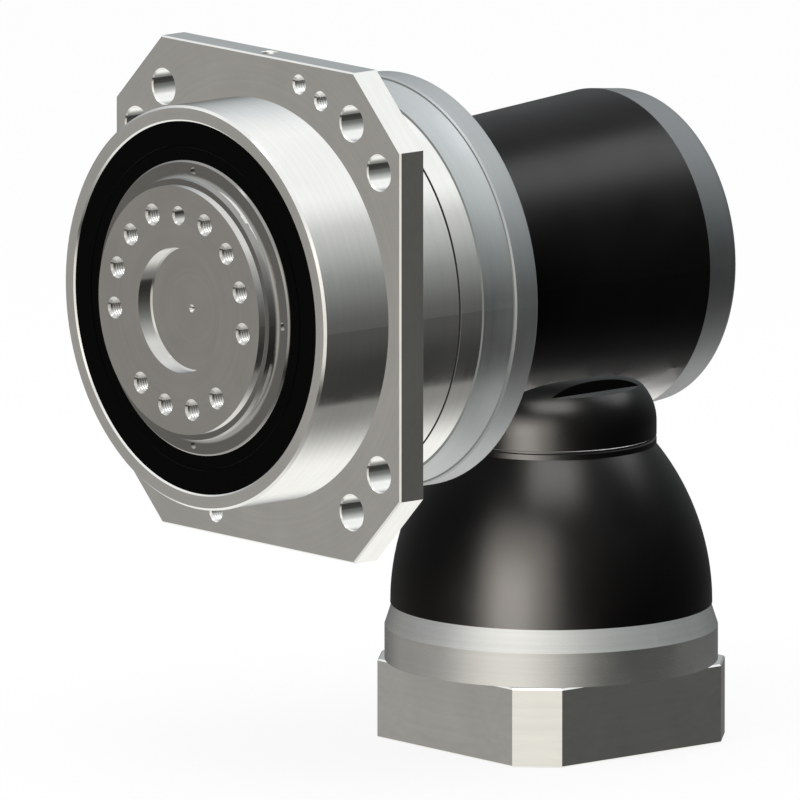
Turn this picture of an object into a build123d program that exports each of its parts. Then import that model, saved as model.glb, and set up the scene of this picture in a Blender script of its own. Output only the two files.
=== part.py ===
from build123d import *
import os
from math import acos, cos, pi, radians, sin, sqrt, tan

os.makedirs("parts", exist_ok=True)

# The output axis is Y and the flange faces -Y. The origin is on that axis, in the front face of
# the mounting plate. The motor hangs below, on a vertical axis offset to +X. Sizes in mm.

# Clearances
seat_gap = 0.015
running_gap = 0.05
face_gap = 0.3
loose_gap = 1.0

# Output flange
flange_front = -51.0
flange_face = -41.5
flange_disc_r = 74.0
boss_r = 62.4
boss_step_r = 65.4
boss_step = 4.0
boss_cove_r = 2.5
centring_r = 31.5
centring_depth = 8.6
centre_dimple_r = 2.0
bolt_circle_r = 50.0
bolt_pitch_angle = 24.0
bolt_thread_r = 4.6
bolt_mouth_r = 5.5
bolt_depth = 18.0
dowel_r = 4.0
dowel_circle_r = 47.8
dowel_depth = 12.0
dimple_r = 2.0
dimple_circle_r = 69.0
dimple_depth = 2.5
hub_r = 66.0
hub_end = 24.0
hub_hollow_r = 26.0
hub_floor = 14.0
hub_spacer_wall = 5.0
carrier_spigot_r = 40.0

# Output housing: pilot ring, plate and round body
pilot_r = 101.5
pilot_length = 41.0
pilot_lip = 1.2
plate_half_width = 110.5
plate_half_height = 123.7
plate_chamfer = 35.9
plate_thickness = 15.6
body_r = 98.0
body_end = 48.8
body_bore_r = 89.0
shoulder_r = 83.0
plate_hole_r = 8.75
plate_hole_inner = (73.0, 98.0)
plate_hole_outer = (94.0, 76.0)
plate_hole_chamfer = 0.6
small_hole_r = 4.25
small_hole_mouth = 0.8
small_hole_circle_r = 117.1
small_hole_angles = (73.9, 65.2, 253.9, 245.2)
lifting_hole_r = 4.3
lifting_hole_depth = 20.0
edge_break = 0.8

# Shaft seal
seal_r = 93.6
seal_face = -40.2
seal_depth = 11.0
seal_ridge_r = 80.5
seal_ridge_width = 1.2
seal_ridge_depth = 0.6

# Output bearing
output_bearing_front = -24.0
output_bearing_width = 26.0
retainer_width = 6.0
retainer_bore_r = 82.5
roller_count_main = 20

# Planetary stage
gear_module = 3.0
sun_teeth = 18
planet_teeth = 18
planet_count = 3
pressure_angle = 20.0
backlash = 0.12
flank_steps = 4
planet_front = 48.0
planet_width = 31.0
pin_r = 9.0
needle_wall = 3.0
planet_face_play = 2.0
carrier_r = 78.0
carrier_plate_front = 22.0
carrier_plate_rear = 10.0
carrier_hub_r = 44.0
carrier_bore_r = 26.0
carrier_rear_inset = 2.0
carrier_shoulder = 4.0
carrier_shoulder_width = 3.0
sun_neck_r = 18.0
sun_spigot_r = 12.0
sun_spigot_length = 40.0

# Ring gear body, flare and rim band
ring_end = 80.6
ring_step = 0.4
seam_width = 1.0
seam_depth = 2.2
flare_start = 63.5
flare_lip = 1.4
flare_step = 4.4
flare_sag_share = 0.3
ring_spigot = 3.8
ring_spigot_wall = 3.5
rim_end = 96.0
rim_step = 6.2
rim_web = 5.0
carrier_bearing_width = 16.0
carrier_bearing_r = 60.0
collar_wall = 3.0
collar_length = 16.0

# Hypoid housing, horizontal part
cone_front_r = 71.0
cone_rear_r = 81.2
cone_end = 227.6
cone_wall = 7.0
partition_width = 16.0
partition_lip = 2.0

# Crown shaft and its bearings
crown_seat_r = 22.0
crown_bearing_r = 36.0
crown_bearing_width = 14.0
crown_front_end = 100.0
crown_flange_r = 48.0
crown_flange_width = 6.0
crown_shaft_r = 30.0
crown_rear_bearing = 206.0
crown_nut_r = 29.0
crown_nut_width = 6.0
crown_screw_r = 2.9
crown_screw_head_r = 4.9
crown_screw_head = 5.0
crown_screw_circle_r = 39.0
crown_screw_count = 6
roller_count_small = 12

# Crown gear and pinion
shaft_offset = 28.0
tower_y = 168.5
pinion_teeth = 13
crown_ratio = 3
pinion_station = 47.0
spiral_angle = 15.0
hypoid_inner = 45.0
hypoid_outer = 51.0
pinion_overhang = 1.0
pinion_addendum = 0.9
pinion_dedendum = 1.2
crown_tip_height = 0.65
hypoid_root_gap = 0.6
pinion_backlash = 0.2
crown_backlash = 0.35
flank_relief = 0.02
relief_start = 1.5
crown_web = 9.3
crown_recess_gap = 1.0
slot_runout = 3.0

# Rear cover
cover_end = 247.6
cover_end_r = 79.0
cover_round = 3.0
cover_spigot_r = 73.0
cover_spigot = 8.0
cover_boss_wall = 6.0
cover_nut_room = 8.0
cover_nut_gap = 3.0
cover_screw_count = 8
cover_screw_circle_r = 67.0

# Tower: nose, dome, adapter ring and motor flange
nose_top = -51.3
nose_r = 52.8
nose_round = 25.5
nose_groove_z = -84.4
nose_groove = 0.9
nose_foot = -88.0
nose_flat_reach = 34.0
nose_flat_z = -58.0
nose_step = 0.8
dome_r = 80.85
dome_end = -169.0
dome_wall = 7.0
adapter_top_r = 80.0
adapter_r = 83.7
adapter_taper_end = -180.5
adapter_end = -197.7
adapter_bore_r = 58.0
adapter_web = 7.0
adapter_spigot_r = 74.0
adapter_spigot = 5.0
adapter_spigot_wall = 10.0
motor_flange_end = -237.9
motor_flange_width = 140.0
motor_flange_chamfer = 17.7
motor_flange_bore_r = 45.0
motor_pilot_r = 55.0
motor_pilot_depth = 6.0
motor_bolt_circle_r = 72.5
motor_bolt_r = 4.0
motor_bolt_depth = 20.0
flange_screw_circle_r = 64.0
flange_screw_angle = 33.0

# Pinion shaft, its bearings and the motor coupling
pinion_neck_r = 15.0
pinion_shoulder = -56.0
pinion_shoulder_r = 17.5
pinion_seat_r = 16.0
pinion_bearing_top = -67.0
pinion_bearing_width = 18.0
pinion_bearing_r = 36.0
pinion_bearing_spread = 18.0
pinion_spacer_r = 21.0
pinion_rib = 5.0
pinion_nut_r = 25.0
pinion_nut_width = 8.0
pinion_tail_r = 15.0
pinion_tail_end = -192.0
input_seal_r = 28.0
hub_outer_r = 30.0
hub_top = -178.0
hub_bottom = -226.0
motor_shaft_r = 14.0
hub_slot = 3.0
clamp_screw_r = 5.0
clamp_screw_head_r = 8.0
clamp_screw_head = 10.0
clamp_screw_z = -214.0
clamp_screw_offset = 22.0
clamp_screw_seat = 10.0
clamp_screw_length = 25.0
clamp_hole_length = 30.0
clamp_socket_r = 4.5
access_plug_r = 8.5
access_plug_length = 8.0
access_break_in = 2.0

# Metric socket screws of the covers and flanges
screw_r = 3.0
screw_head_r = 5.0
screw_head = 6.0
screw_socket_r = 2.6
screw_socket_depth = 3.2


def save(part, name):
    """Label a finished piece and write its STEP file."""
    part.label = name
    export_step(part, f"parts/{name}.step")


def cross_plane(y):
    """Plane across the output axis at y. It faces +Y, and its own y axis points down."""
    return Plane(origin=(0, y, 0), x_dir=(1, 0, 0), z_dir=(0, 1, 0))


def level_plane(z):
    """Level plane across the motor axis at height z, facing up."""
    return Plane(origin=(shaft_offset, tower_y, z), x_dir=(1, 0, 0), z_dir=(0, 0, 1))


# Half planes for turned pieces: x is the radius, y runs along the axis
output_profile = Plane.XY
output_axis = Axis.Y
tower_profile = Plane(origin=(shaft_offset, tower_y, 0), x_dir=(1, 0, 0), z_dir=(0, -1, 0))
tower_axis = Axis((shaft_offset, tower_y, 0), (0, 0, 1))


def turned(points, plane=output_profile, axis=output_axis):
    """Solid of revolution of a closed outline of (radius, position) points."""
    with BuildPart() as solid:
        with BuildSketch(plane):
            with BuildLine():
                Polyline(*points, close=True)
            make_face()
        revolve(axis=axis)
    return solid.part


def turned_ring(inner, outer, start, end, plane=output_profile, axis=output_axis, edge=0.0):
    """Plain ring, with its outer edges chamfered when an edge size is given."""
    if edge:
        points = [
            (inner, start), (outer - edge, start), (outer, start + edge),
            (outer, end - edge), (outer - edge, end), (inner, end),
        ]
    else:
        points = [(inner, start), (outer, start), (outer, end), (inner, end)]
    return turned(points, plane, axis)


# Taper roller bearings, used on both axes
race_angle = radians(12.0)
roller_taper = radians(2.0)
roller_share = 0.46
roller_length_share = 0.72


def roller_bearing(name, start, width, bore_r, outer_r, count, opens=1, vertical=False):
    """Inner ring, rollers and outer ring of a taper roller bearing between start and start + width.
    opens is 1 where the raceways widen along the axis and -1 where they narrow."""
    plane = tower_profile if vertical else output_profile
    axis = tower_axis if vertical else output_axis
    end = start + width
    middle = start + width / 2
    mean_r = (bore_r + outer_r) / 2
    roller_r = roller_share * (outer_r - bore_r) / 2
    half_length = roller_length_share * width / 2
    tilt = opens * race_angle
    along = (sin(tilt), cos(tilt))
    across = (cos(tilt), -sin(tilt))

    def race(side, position):
        """Radius of the raceway that touches the rollers on one side, at a place along the axis."""
        slope = tan(tilt + opens * side * roller_taper)
        touch_r = mean_r + side * (roller_r + running_gap) * across[0]
        touch = middle + side * (roller_r + running_gap) * across[1]
        return touch_r + slope * (position - touch)

    with BuildPart() as inner:
        add(turned([
            (bore_r + seat_gap, start), (race(-1, start), start), (race(-1, end), end),
            (bore_r + seat_gap, end),
        ], plane, axis))
    with BuildPart() as outer:
        add(turned([
            (outer_r - seat_gap, start), (race(1, start), start), (race(1, end), end),
            (outer_r - seat_gap, end),
        ], plane, axis))
    start_r = roller_r - opens * tan(roller_taper) * half_length
    end_r = roller_r + opens * tan(roller_taper) * half_length
    near_end = (mean_r - along[0] * half_length, middle - along[1] * half_length)
    far_end = (mean_r + along[0] * half_length, middle + along[1] * half_length)
    corners = [
        near_end, (near_end[0] + across[0] * start_r, near_end[1] + across[1] * start_r),
        (far_end[0] + across[0] * end_r, far_end[1] + across[1] * end_r), far_end,
    ]
    with BuildPart() as rollers:
        for k in range(count):
            angle = 360.0 * k / count
            spoke = Plane(
                origin=plane.origin,
                x_dir=plane.x_dir.rotate(Axis((0, 0, 0), axis.direction), angle),
                z_dir=plane.z_dir.rotate(Axis((0, 0, 0), axis.direction), angle),
            )
            with BuildSketch(spoke):
                with BuildLine():
                    Polyline(*corners, close=True)
                make_face()
            near = spoke.from_local_coords((*near_end, 0))
            far = spoke.from_local_coords((*far_end, 0))
            revolve(axis=Axis(near, far - near))
    save(inner.part, name + "_inner_ring")
    save(rollers.part, name + "_rollers")
    save(outer.part, name + "_outer_ring")


# Involute gear teeth
def involute(angle):
    return tan(angle) - angle


def tooth_outline(teeth, pitch_r, addendum, dedendum, thinning, turn):
    """Closed outline of an external gear: each tooth has two involute flanks in short chords.
    turn is the angle of one tooth's centre, and thinning is taken off the tooth's thickness."""
    base_r = pitch_r * cos(radians(pressure_angle))
    tip_r = pitch_r + addendum
    root_r = pitch_r - dedendum
    start_r = max(root_r, base_r)
    pitch_half = pi / (2 * teeth) - thinning / (2 * pitch_r) + involute(radians(pressure_angle))
    flank = []
    if root_r < base_r:
        flank.append((root_r, pitch_half))
    for step in range(flank_steps + 1):
        r = start_r + (tip_r - start_r) * step / flank_steps
        flank.append((r, pitch_half - involute(acos(base_r / r))))
    points = []
    for tooth in range(teeth):
        centre = turn + 2 * pi * tooth / teeth
        for r, half in flank:
            points.append((r * cos(centre - half), r * sin(centre - half)))
        for r, half in reversed(flank):
            points.append((r * cos(centre + half), r * sin(centre + half)))
    return points


# Planetary gearing: pitch radii, tooth heights and the planets' places. One planet stands straight
# above the axis, and sun and ring have a tooth in line with each planet, which has a gap there.
sun_pitch_r = gear_module * sun_teeth / 2
planet_pitch_r = gear_module * planet_teeth / 2
planet_circle_r = sun_pitch_r + planet_pitch_r
ring_teeth = sun_teeth + 2 * planet_teeth
ring_pitch_r = gear_module * ring_teeth / 2
tooth_addendum = gear_module
tooth_dedendum = 1.25 * gear_module
planet_end = planet_front + planet_width
planet_angles = [-90.0 + 360.0 * k / planet_count for k in range(planet_count)]
mesh_turn = radians(-90)
planet_bore_r = pin_r + needle_wall
carrier_front = planet_front - planet_face_play - carrier_plate_front
carrier_rear = planet_end + loose_gap

# Output flange: disc with boss, centring bore and bolt circle, and the hub that carries the bearing
boss_foot = flange_face - boss_cove_r
carrier_front_end = carrier_front + carrier_plate_front
with BuildPart() as output_flange:
    with BuildSketch(output_profile):
        with BuildLine():
            Polyline(
                (0, hub_floor), (0, flange_front + centring_depth),
                (centring_r - edge_break, flange_front + centring_depth),
                (centring_r, flange_front + centring_depth - edge_break), (centring_r, flange_front),
                (boss_r, flange_front), (boss_r, flange_front + boss_step),
                (boss_step_r, flange_front + boss_step), (boss_step_r, boss_foot),
            )
            RadiusArc((boss_step_r, boss_foot), (boss_step_r + boss_cove_r, flange_face), boss_cove_r)
            Polyline(
                (boss_step_r + boss_cove_r, flange_face), (flange_disc_r - edge_break, flange_face),
                (flange_disc_r, flange_face + edge_break), (flange_disc_r, output_bearing_front),
                (hub_r, output_bearing_front), (hub_r, hub_end), (carrier_spigot_r, hub_end),
                (carrier_spigot_r, carrier_front_end), (hub_hollow_r, carrier_front_end),
                (hub_hollow_r, hub_floor), (0, hub_floor),
            )
        make_face()
    revolve(axis=output_axis)
    front = Plane(origin=(0, flange_front, 0), x_dir=(1, 0, 0), z_dir=(0, -1, 0))
    bolt_angles = [90 + bolt_pitch_angle * k for k in range(1, 15) if k not in (5, 10)]
    for angle in bolt_angles:
        place = (bolt_circle_r * cos(radians(angle)), bolt_circle_r * sin(radians(angle)))
        with Locations(front.location * Location((place[0], place[1], 0))):
            CounterSinkHole(bolt_thread_r, bolt_mouth_r, depth=bolt_depth)
    with Locations(front.location * Location((0, dowel_circle_r, 0))):
        CounterSinkHole(dowel_r, dowel_r + edge_break, depth=dowel_depth)
    with Locations(front.offset(-centring_depth).location):
        CounterSinkHole(centre_dimple_r / 2, centre_dimple_r, depth=dimple_depth)
    face = Plane(origin=(0, flange_face, 0), x_dir=(1, 0, 0), z_dir=(0, -1, 0))
    with BuildSketch(face):
        with PolarLocations(dimple_circle_r, 4):
            Circle(dimple_r)
    extrude(amount=-dimple_depth, mode=Mode.SUBTRACT)
save(output_flange.part, "output_flange")

# Shaft seal: flat ring round the flange disc with one fine ridge pressed into its face
with BuildPart() as shaft_seal:
    with BuildSketch(output_profile):
        with BuildLine():
            Polyline(
                (flange_disc_r + running_gap, seal_face), (seal_ridge_r, seal_face),
                (seal_ridge_r, seal_face + seal_ridge_depth),
                (seal_ridge_r + seal_ridge_width, seal_face + seal_ridge_depth),
                (seal_ridge_r + seal_ridge_width, seal_face), (seal_r - seat_gap, seal_face),
                (seal_r - seat_gap, seal_face + seal_depth),
                (flange_disc_r + running_gap, seal_face + seal_depth), close=True,
            )
        make_face()
    revolve(axis=output_axis)
save(shaft_seal.part, "shaft_seal")

# Output housing: pilot, mounting plate and round body in one piece
seal_seat = seal_face + seal_depth
with BuildPart() as output_housing:
    with BuildSketch(cross_plane(0)):
        Rectangle(2 * plate_half_width, 2 * plate_half_height)
        chamfer(vertices(), plate_chamfer)
    extrude(amount=plate_thickness)
    chamfer(edges().group_by(Axis.Y)[0], edge_break)
    chamfer(edges().group_by(Axis.Y)[-1], edge_break)
    with BuildSketch(output_profile):
        with BuildLine():
            Polyline(
                (0, -pilot_length), (pilot_r - pilot_lip, -pilot_length),
                (pilot_r, -pilot_length + pilot_lip), (pilot_r, 0), (body_r, 0),
                (body_r, body_end), (0, body_end), close=True,
            )
        make_face()
    revolve(axis=output_axis)
    with BuildSketch(output_profile):
        with BuildLine():
            Polyline(
                (0, -pilot_length), (seal_r + edge_break, -pilot_length),
                (seal_r, -pilot_length + edge_break), (seal_r, seal_seat), (shoulder_r, seal_seat),
                (shoulder_r, output_bearing_front), (body_bore_r, output_bearing_front),
                (body_bore_r, body_end), (0, body_end), close=True,
            )
        make_face()
    revolve(axis=output_axis, mode=Mode.SUBTRACT)
    plate_face = Plane(origin=(0, 0, 0), x_dir=(1, 0, 0), z_dir=(0, -1, 0))
    for x, z in (plate_hole_inner, plate_hole_outer):
        for side in (1, -1):
            for level in (1, -1):
                with Locations(plate_face.location * Location((side * x, level * z, 0))):
                    CounterSinkHole(plate_hole_r, plate_hole_r + plate_hole_chamfer)
    for angle in small_hole_angles:
        x = small_hole_circle_r * cos(radians(angle))
        z = small_hole_circle_r * sin(radians(angle))
        with Locations(plate_face.location * Location((x, z, 0))):
            CounterSinkHole(small_hole_r, small_hole_r + small_hole_mouth)
    top_edge = Plane(origin=(0, plate_thickness / 2, plate_half_height), x_dir=(1, 0, 0), z_dir=(0, 0, 1))
    with Locations(top_edge.location):
        CounterSinkHole(lifting_hole_r, lifting_hole_r + edge_break / 2, depth=lifting_hole_depth)
save(output_housing.part, "output_housing")

# Output bearing, the ring that keeps it in the housing and the spacer that keeps it on the hub
roller_bearing(
    "output_bearing", output_bearing_front, output_bearing_width, hub_r, body_bore_r, roller_count_main,
)
output_bearing_end = output_bearing_front + output_bearing_width
with BuildPart() as bearing_retainer:
    add(turned_ring(
        retainer_bore_r, body_bore_r - seat_gap, output_bearing_end, output_bearing_end + retainer_width,
    ))
save(bearing_retainer.part, "bearing_retainer")

with BuildPart() as hub_spacer:
    add(turned_ring(hub_r + seat_gap, hub_r + hub_spacer_wall, output_bearing_end, carrier_front))
save(hub_spacer.part, "hub_spacer")

# Planet carrier: front plate on the hub's spigot, rear plate with the bearing hub, and three pins
with BuildPart() as carrier_front_plate:
    add(turned_ring(
        carrier_spigot_r + seat_gap, carrier_r, carrier_front, carrier_front_end, edge=edge_break,
    ))
    with BuildSketch(cross_plane(carrier_front)):
        for angle in planet_angles:
            with Locations((planet_circle_r * cos(radians(angle)), planet_circle_r * sin(radians(angle)))):
                Circle(pin_r + seat_gap)
    extrude(amount=carrier_plate_front, mode=Mode.SUBTRACT)
save(carrier_front_plate.part, "carrier_front_plate")

carrier_rear_end = carrier_rear + carrier_plate_rear
carrier_bearing_start = carrier_rear_end + carrier_shoulder_width
with BuildPart() as carrier_rear_plate:
    add(turned([
        (carrier_bore_r, carrier_rear), (carrier_r - carrier_rear_inset, carrier_rear),
        (carrier_r - carrier_rear_inset, carrier_rear_end),
        (carrier_hub_r + carrier_shoulder, carrier_rear_end),
        (carrier_hub_r + carrier_shoulder, carrier_bearing_start), (carrier_hub_r, carrier_bearing_start),
        (carrier_hub_r, carrier_bearing_start + carrier_bearing_width),
        (carrier_bore_r, carrier_bearing_start + carrier_bearing_width),
    ]))
    with BuildSketch(cross_plane(carrier_rear)):
        for angle in planet_angles:
            with Locations((planet_circle_r * cos(radians(angle)), planet_circle_r * sin(radians(angle)))):
                Circle(pin_r + seat_gap)
    extrude(amount=carrier_plate_rear, mode=Mode.SUBTRACT)
save(carrier_rear_plate.part, "carrier_rear_plate")

with BuildPart() as planet_pins:
    with BuildSketch(cross_plane(carrier_front)):
        for angle in planet_angles:
            with Locations((planet_circle_r * cos(radians(angle)), planet_circle_r * sin(radians(angle)))):
                Circle(pin_r)
    extrude(amount=carrier_rear_end - carrier_front)
save(planet_pins.part, "planet_pins")

# Planet gears with their needle bearings
for number, angle in enumerate(planet_angles, start=1):
    centre = (planet_circle_r * cos(radians(angle)), planet_circle_r * sin(radians(angle)))
    gap_turn = radians(angle) + pi / planet_teeth
    with BuildPart() as planet_gear:
        with BuildSketch(cross_plane(planet_front)):
            with Locations(centre):
                with BuildLine(mode=Mode.PRIVATE) as teeth:
                    Polyline(*tooth_outline(
                        planet_teeth, planet_pitch_r, tooth_addendum, tooth_dedendum, backlash, gap_turn,
                    ), close=True)
                add(make_face(teeth.edges(), mode=Mode.PRIVATE))
                Circle(planet_bore_r, mode=Mode.SUBTRACT)
        extrude(amount=planet_width)
    save(planet_gear.part, f"planet_gear_{number}")
    with BuildPart() as planet_needles:
        with BuildSketch(cross_plane(planet_front)):
            with Locations(centre):
                Circle(planet_bore_r - running_gap)
                Circle(pin_r + running_gap, mode=Mode.SUBTRACT)
        extrude(amount=planet_width)
    save(planet_needles.part, f"planet_needles_{number}")

# Sun gear with its shaft, which plugs into the crown shaft
with BuildPart() as sun_gear:
    with BuildSketch(cross_plane(planet_front)):
        with BuildLine():
            Polyline(*tooth_outline(
                sun_teeth, sun_pitch_r, tooth_addendum, tooth_dedendum, backlash, mesh_turn,
            ), close=True)
        make_face()
    extrude(amount=planet_width)
    with BuildSketch(cross_plane(planet_end)):
        Circle(sun_neck_r)
    extrude(amount=crown_front_end - planet_end)
    with BuildSketch(cross_plane(crown_front_end)):
        Circle(sun_spigot_r)
    extrude(amount=sun_spigot_length)
    chamfer(edges().group_by(Axis.Y)[-1], edge_break)
save(sun_gear.part, "sun_gear")

# Ring gear: the body behind the seam's groove, with a lip and a cove up to the rim, the internal
# teeth and a spigot in the housing
ring_r = body_r + ring_step
flare_r = body_r + flare_step
rim_r = body_r + rim_step
flare_foot_r = ring_r + flare_lip
with BuildPart() as ring_gear:
    with BuildSketch(output_profile):
        with BuildLine():
            Polyline(
                (0, body_end - ring_spigot), (body_bore_r - seat_gap, body_end - ring_spigot),
                (body_bore_r - seat_gap, body_end), (body_r - seam_depth, body_end),
                (body_r - seam_depth, body_end + seam_width), (ring_r, body_end + seam_width),
                (ring_r, flare_start), (flare_foot_r, flare_start),
            )
            ThreePointArc(
                (flare_foot_r, flare_start),
                (flare_foot_r + (flare_r - flare_foot_r) * flare_sag_share, (flare_start + ring_end) / 2),
                (flare_r, ring_end),
            )
            Polyline((flare_r, ring_end), (0, ring_end), (0, body_end - ring_spigot))
        make_face()
    revolve(axis=output_axis)
    with BuildSketch(cross_plane(body_end - ring_spigot)):
        Circle(body_bore_r - ring_spigot_wall)
    extrude(amount=ring_spigot, mode=Mode.SUBTRACT)
    with BuildSketch(cross_plane(body_end)):
        with BuildLine():
            Polyline(*tooth_outline(
                ring_teeth, ring_pitch_r, tooth_dedendum, tooth_addendum, -backlash,
                mesh_turn + pi / ring_teeth,
            ), close=True)
        make_face()
    extrude(amount=ring_end - body_end, mode=Mode.SUBTRACT)
save(ring_gear.part, "ring_gear")

# Intermediate flange: the rim band, its web and the collar that holds the carrier bearing
web_front = rim_end - rim_web
collar_end = rim_end + collar_length
with BuildPart() as intermediate_flange:
    add(turned([
        (carrier_r + loose_gap, ring_end), (rim_r - edge_break, ring_end), (rim_r, ring_end + edge_break),
        (rim_r, rim_end - 2 * edge_break), (rim_r - 2 * edge_break, rim_end),
        (carrier_bearing_r + collar_wall, rim_end), (carrier_bearing_r + collar_wall, collar_end),
        (carrier_bearing_r - collar_wall, collar_end),
        (carrier_bearing_r - collar_wall, carrier_bearing_start + carrier_bearing_width),
        (carrier_bearing_r, carrier_bearing_start + carrier_bearing_width), (carrier_bearing_r, web_front),
        (carrier_r + loose_gap, web_front),
    ]))
save(intermediate_flange.part, "intermediate_flange")
roller_bearing(
    "carrier_bearing", carrier_bearing_start, carrier_bearing_width, carrier_hub_r, carrier_bearing_r,
    roller_count_main, opens=-1,
)

# Hypoid stage: the crown slots and pinion teeth are worked out from the rolling of the two
# axes. At a height z the crown moves past the pinion like a rack whose pitch radius on the
# pinion is z over the effective ratio, and its pressure angle follows from the base circle.
spiral = tan(radians(spiral_angle))
pinion_pitch_r = (pinion_station + shaft_offset * spiral) / crown_ratio
effective_ratio = crown_ratio - shaft_offset * spiral / pinion_pitch_r
pinion_module = 2 * pinion_pitch_r / pinion_teeth
pinion_base_r = pinion_pitch_r * cos(radians(pressure_angle))
pinion_tip_r = pinion_pitch_r + pinion_addendum * pinion_module
crown_teeth = crown_ratio * pinion_teeth
crown_tip = pinion_pitch_r - crown_tip_height * pinion_module
crown_root = pinion_tip_r + hypoid_root_gap
crown_tip_y = tower_y - crown_tip
crown_root_y = tower_y - crown_root
crown_inner_r = sqrt(hypoid_inner ** 2 + shaft_offset ** 2)
crown_outer_r = sqrt(hypoid_outer ** 2 + shaft_offset ** 2)
crown_recess_y = crown_root_y - crown_recess_gap
crown_start_y = crown_recess_y - crown_web


def spiral_turn(height):
    """Turn of the pinion tooth at a height below the output axis, from its middle station."""
    return spiral / pinion_pitch_r * (pinion_station - height)


def slot_half_width(height, reach):
    """Half width of a crown slot at a height below the output axis and a reach from the pinion axis."""
    rolling_r = height / effective_ratio
    angle = acos(min(1.0, pinion_base_r / rolling_r))
    half_tooth = rolling_r * (pi / (2 * pinion_teeth) + involute(radians(pressure_angle)) - involute(angle))
    relief = flank_relief * max(0.0, crown_root - relief_start - reach) ** 2
    return half_tooth + crown_backlash / 2 - (reach - rolling_r) * tan(angle) + relief


def slot_section(height):
    """Plane and corner points of a crown slot at a height below the output axis."""
    turn = spiral_turn(height) / crown_ratio
    origin = (
        shaft_offset * cos(turn) - height * sin(turn), 0,
        -shaft_offset * sin(turn) - height * cos(turn),
    )
    plane = Plane(origin=origin, x_dir=(cos(turn), 0, -sin(turn)), z_dir=(-sin(turn), 0, -cos(turn)))
    mouth = crown_tip - loose_gap
    reaches = [crown_root, (crown_root + crown_tip) / 2, crown_tip, mouth]
    side = [(slot_half_width(height, reach), tower_y - reach) for reach in reaches]
    local = [plane.to_local_coords(Vector(origin[0], y, origin[2])).Y for half, y in side]
    right = [(half, height_y) for (half, y), height_y in zip(side, local)]
    left = [(-half, height_y) for half, height_y in reversed(right)]
    return plane, right + left


slot_heights = (
    hypoid_inner - slot_runout, hypoid_inner, (hypoid_inner + pinion_station) / 2, pinion_station,
    (pinion_station + hypoid_outer) / 2, hypoid_outer, hypoid_outer + slot_runout,
)
with BuildPart(mode=Mode.PRIVATE) as crown_slot:
    for height in slot_heights:
        plane, corners = slot_section(height)
        with BuildSketch(plane):
            with BuildLine():
                Polyline(*corners, close=True)
            make_face()
    loft(ruled=True)

crown_screw_plane = cross_plane(crown_recess_y)
with BuildPart() as crown_gear:
    add(turned([
        (crown_shaft_r + seat_gap, crown_start_y), (crown_outer_r - 2 * edge_break, crown_start_y),
        (crown_outer_r, crown_start_y + 2 * edge_break), (crown_outer_r, crown_tip_y),
        (crown_inner_r, crown_tip_y), (crown_inner_r - edge_break, crown_recess_y),
        (crown_shaft_r + seat_gap, crown_recess_y),
    ]))
    slots = [crown_slot.part.rotate(output_axis, 360.0 * k / crown_teeth) for k in range(crown_teeth)]
    add(slots, mode=Mode.SUBTRACT)
    with BuildSketch(crown_screw_plane):
        with PolarLocations(crown_screw_circle_r, crown_screw_count):
            Circle(crown_screw_r + running_gap)
    extrude(amount=-crown_web, mode=Mode.SUBTRACT)
save(crown_gear.part, "crown_gear")

# Crown shaft: hollow in front for the sun gear's spigot, a flange for the crown gear, two seats
crown_front_bearing = collar_end
crown_flange_start = crown_start_y - crown_flange_width
crown_rear_bearing_end = crown_rear_bearing + crown_bearing_width
crown_thread_depth = crown_flange_width
with BuildPart() as crown_shaft:
    add(turned([
        (sun_spigot_r + seat_gap, crown_front_end), (crown_seat_r, crown_front_end),
        (crown_seat_r, crown_front_bearing + crown_bearing_width),
        (crown_shaft_r, crown_front_bearing + crown_bearing_width), (crown_shaft_r, crown_flange_start),
        (crown_flange_r, crown_flange_start), (crown_flange_r, crown_start_y),
        (crown_shaft_r, crown_start_y), (crown_shaft_r, crown_rear_bearing),
        (crown_seat_r, crown_rear_bearing), (crown_seat_r, crown_rear_bearing_end + crown_nut_width),
        (0, crown_rear_bearing_end + crown_nut_width), (0, crown_front_end + sun_spigot_length),
        (sun_spigot_r + seat_gap, crown_front_end + sun_spigot_length),
    ]))
    with BuildSketch(cross_plane(crown_start_y)):
        with PolarLocations(crown_screw_circle_r, crown_screw_count):
            Circle(crown_screw_r + seat_gap)
    extrude(amount=-crown_thread_depth, mode=Mode.SUBTRACT)
save(crown_shaft.part, "crown_shaft")

with BuildPart() as crown_screws:
    with BuildSketch(crown_screw_plane):
        with PolarLocations(crown_screw_circle_r, crown_screw_count):
            Circle(crown_screw_head_r)
    extrude(amount=crown_screw_head)
    with BuildSketch(crown_screw_plane):
        with PolarLocations(crown_screw_circle_r, crown_screw_count):
            Circle(crown_screw_r)
    extrude(amount=-crown_web - crown_thread_depth)
    with BuildSketch(cross_plane(crown_recess_y + crown_screw_head)):
        with PolarLocations(crown_screw_circle_r, crown_screw_count):
            RegularPolygon(screw_socket_r, 6)
    extrude(amount=-screw_socket_depth, mode=Mode.SUBTRACT)
save(crown_screws.part, "crown_screws")

roller_bearing(
    "crown_front_bearing", crown_front_bearing, crown_bearing_width, crown_seat_r, crown_bearing_r,
    roller_count_small, opens=-1,
)
roller_bearing(
    "crown_rear_bearing", crown_rear_bearing, crown_bearing_width, crown_seat_r, crown_bearing_r,
    roller_count_small,
)

with BuildPart() as crown_nut:
    add(turned_ring(
        crown_seat_r + seat_gap, crown_nut_r, crown_rear_bearing_end,
        crown_rear_bearing_end + crown_nut_width, edge=edge_break,
    ))
save(crown_nut.part, "crown_nut")

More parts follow.
